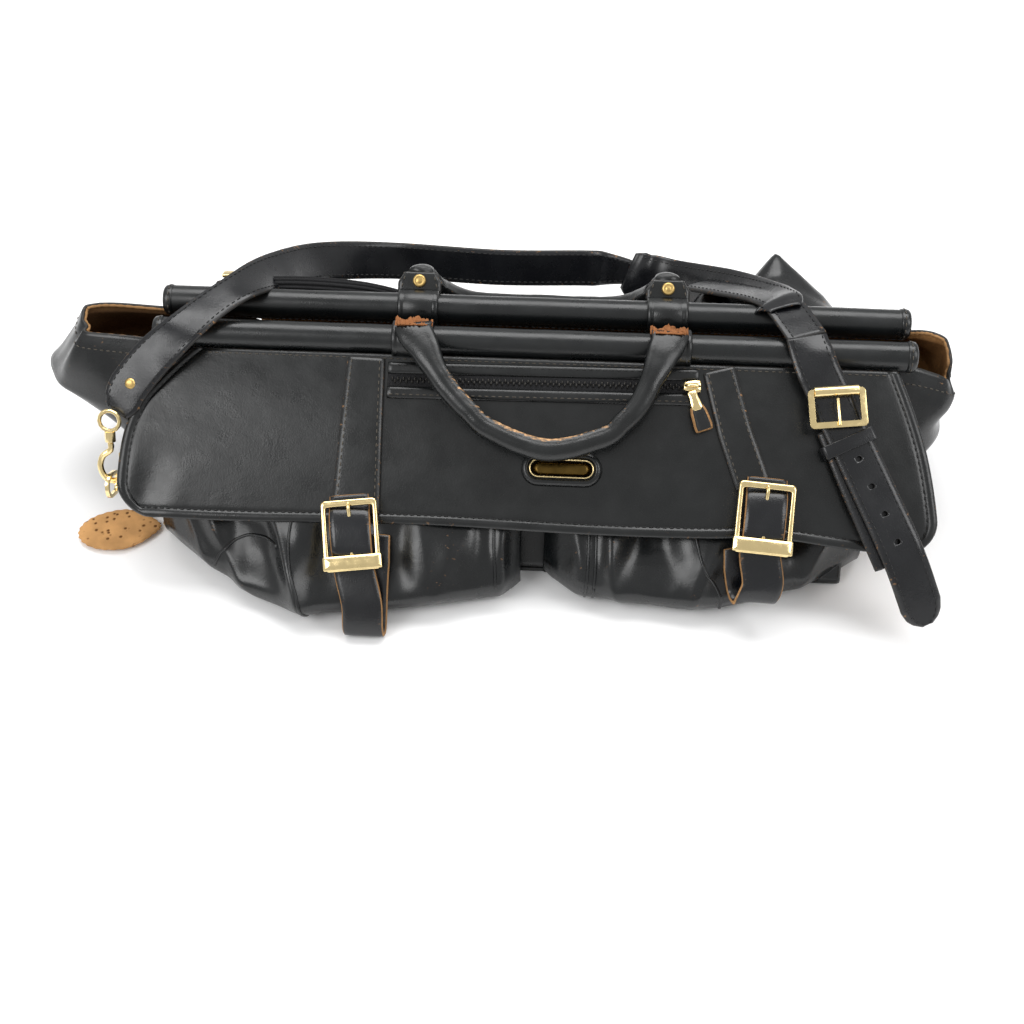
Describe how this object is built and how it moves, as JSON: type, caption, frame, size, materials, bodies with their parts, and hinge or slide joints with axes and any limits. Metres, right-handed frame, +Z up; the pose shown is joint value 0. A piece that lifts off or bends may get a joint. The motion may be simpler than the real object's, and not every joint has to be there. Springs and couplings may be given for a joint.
{
  "type": "doctor bag",
  "caption": "Soft leather doctor bag with two padded frame rails, front flap with two buckled closing straps, paired rolled handles and a shoulder strap.",
  "frame": {"origin": "centre of the flat base, on its underside", "axes": "+X along the bag to the right seen from the flap side, -Y towards the front flap, +Z up"},
  "size_m": [0.6314, 0.3414, 0.1593],
  "materials": {
    "black_leather": "semi-gloss black leather, fine grain, tan raw flesh side",
    "rail_leather": "semi-gloss black leather stretched over a rod",
    "strap_leather": "smooth black strap leather, tan raw edges",
    "handle_leather": "rolled black leather, worn to tan along the ridge",
    "brass": "polished pale gold plating",
    "aged_brass": "antique brass",
    "steel_rod": "drawn steel tube",
    "fibreboard": "pressed fibreboard",
    "zip_tape": "woven black zip tape",
    "cord_filler": "twisted cotton cord",
    "tan_suede": "tan suede"
  },
  "bodies": {
    "bag_body": {"base_panel": "black_leather", "base_stiffener_board": "fibreboard", "front_wall": "black_leather", "left_gusset": "black_leather", "right_gusset": "black_leather", "front_pocket_left": "black_leather", "front_pocket_right": "black_leather", "front_rail_sleeve": "rail_leather", "front_rail_rod": "steel_rod", "front_rail_cap_left": "rail_leather", "front_rail_cap_right": "rail_leather", "shoulder_strap_front_end": "strap_leather", "snap_hook_swivel_eye": "brass"},
    "rear_half": {"back_wall": "black_leather", "rear_rail_sleeve": "rail_leather", "rear_rail_rod": "steel_rod", "rear_rail_cap_left": "rail_leather", "rear_rail_cap_right": "rail_leather", "rear_zip_tape": "zip_tape", "shoulder_strap_back": "strap_leather", "shoulder_pad": "strap_leather"},
    "rear_zip_runner": {"rear_zip_slider": "brass"},
    "rear_handle_tabs": {"rear_handle_tab_left": "handle_leather", "rear_handle_tab_right": "handle_leather", "rear_handle_rivet_left": "aged_brass", "rear_handle_rivet_right": "aged_brass"},
    "rear_handle": {"rear_handle_grip": "handle_leather", "rear_handle_core": "cord_filler"},
    "flap": {"flap": "black_leather", "closing_strap_left": "strap_leather", "closing_strap_right": "strap_leather", "flap_buckle_left": "brass", "flap_buckle_right": "brass", "loop_strap_left": "strap_leather", "loop_strap_right": "strap_leather", "flap_zip_tape": "zip_tape", "flap_zip_teeth": "zip_tape", "plate_surround": "black_leather", "oval_plate": "brass", "shoulder_strap_tongue": "strap_leather", "shoulder_strap_short": "strap_leather", "shoulder_buckle_frame": "brass"},
    "front_handle": {"front_handle_tab_left": "handle_leather", "front_handle_tab_right": "handle_leather", "front_handle_grip": "handle_leather", "front_handle_core": "cord_filler"},
    "flap_zip_runner": {"flap_zip_slider": "brass"},
    "flap_zip_pull": {"flap_zip_pull_link": "brass", "flap_zip_pull_tab": "strap_leather"},
    "left_flap_prong": {"flap_buckle_prong_left": "brass"},
    "right_flap_prong": {"flap_buckle_prong_right": "brass"},
    "shoulder_roller": {"shoulder_buckle_roller": "brass"},
    "shoulder_prong": {"shoulder_buckle_prong": "brass"},
    "strap_keeper": {"shoulder_strap_keeper": "strap_leather"},
    "snap_hook": {"snap_hook_body": "brass"},
    "snap_gate": {"snap_hook_gate": "brass"},
    "left_d_ring": {"d_ring_left": "brass"},
    "right_d_ring": {"d_ring_right": "brass"},
    "tag_ring": {"luggage_tag_ring": "brass"},
    "tag": {"luggage_tag": "tan_suede"}
  },
  "joints": [
    {"name": "mouth_opening", "type": "hinge", "parent": "bag_body", "child": "rear_half", "pos_m": [0, 0.112, 0.0052], "axis": [-1, 0, 0], "range_deg": [0, 30]},
    {"name": "flap_lift", "type": "hinge", "parent": "bag_body", "child": "flap", "pos_m": [0, -0.015, 0.133], "axis": [-1, 0, 0], "range_deg": [0, 130]},
    {"name": "front_handle_swing", "type": "hinge", "parent": "flap", "child": "front_handle", "pos_m": [0, -0.015, 0.133], "axis": [1, 0, 0], "range_deg": [-125, 0]},
    {"name": "rear_tab_swing", "type": "hinge", "parent": "rear_half", "child": "rear_handle_tabs", "pos_m": [0, 0.019, 0.133], "axis": [1, 0, 0], "range_deg": [0, 25]},
    {"name": "rear_handle_swing", "type": "hinge", "parent": "rear_handle_tabs", "child": "rear_handle", "pos_m": [0, 0.0347, 0.1505], "axis": [1, 0, 0], "range_deg": [0, 110]},
    {"name": "flap_zip_travel", "type": "slide", "parent": "flap", "child": "flap_zip_runner", "axis": [1, 0, 0], "range_m": [-0.19, 0]},
    {"name": "flap_zip_pull_swing", "type": "hinge", "parent": "flap_zip_runner", "child": "flap_zip_pull", "pos_m": [0.109, -0.04651, 0.12165], "axis": [-1, 0, 0], "range_deg": [0, 60]},
    {"name": "rear_zip_travel", "type": "slide", "parent": "rear_half", "child": "rear_zip_runner", "axis": [1, 0, 0], "range_m": [0, 0.008]},
    {"name": "left_prong_pivot", "type": "hinge", "parent": "flap", "child": "left_flap_prong", "pos_m": [-0.11385, -0.14322, 0.05491], "axis": [0.9925, 0.0973, 0.0733], "range_deg": [0, 25]},
    {"name": "right_prong_pivot", "type": "hinge", "parent": "flap", "child": "right_flap_prong", "pos_m": [0.15806, -0.12821, 0.0706], "axis": [0.9976, -0.0557, -0.042], "range_deg": [0, 25]},
    {"name": "shoulder_roller_spin", "type": "hinge", "parent": "flap", "child": "shoulder_roller", "pos_m": [0.20276, -0.05068, 0.13241], "axis": [0.9945, 0.0835, 0.0629], "continuous": true},
    {"name": "shoulder_prong_pivot", "type": "hinge", "parent": "flap", "child": "shoulder_prong", "pos_m": [0.2051, -0.0702, 0.12146], "axis": [0.9945, 0.0835, 0.0629], "range_deg": [0, 70]},
    {"name": "keeper_travel", "type": "slide", "parent": "flap", "child": "strap_keeper", "axis": [0.4384, -0.7178, -0.5409], "range_m": [0, 0.018]},
    {"name": "snap_hook_swivel", "type": "hinge", "parent": "bag_body", "child": "snap_hook", "pos_m": [-0.2845, -0.078, 0.09061], "axis": [0, 0.5, 0.866], "range_deg": [-15, 15]},
    {"name": "snap_gate_pivot", "type": "hinge", "parent": "snap_hook", "child": "snap_gate", "pos_m": [-0.2779, -0.0831, 0.08177], "axis": [0, -0.866, 0.5], "range_deg": [-35, 0], "stiffness_Nm_per_rad": 0.01, "springref_deg": 11.46},
    {"name": "left_d_ring_swing", "type": "hinge", "parent": "bag_body", "child": "left_d_ring", "pos_m": [-0.285, -0.09795, 0.05605], "axis": [0, -0.866, 0.5], "range_deg": [-6, 3]},
    {"name": "right_d_ring_swing", "type": "hinge", "parent": "flap", "child": "right_d_ring", "pos_m": [0.24293, -0.0994, 0.05938], "axis": [0.8988, 0.3501, 0.2638], "range_deg": [-12, 0]},
    {"name": "tag_ring_swing", "type": "hinge", "parent": "bag_body", "child": "tag_ring", "pos_m": [-0.2589, -0.078, 0.009], "axis": [0, 1, 0], "range_deg": [-30, 0]},
    {"name": "luggage_tag_swing", "type": "hinge", "parent": "tag_ring", "child": "tag", "pos_m": [-0.2635, -0.0787, 0.0035], "axis": [0, 1, 0], "range_deg": [0, 40]}
  ]
}
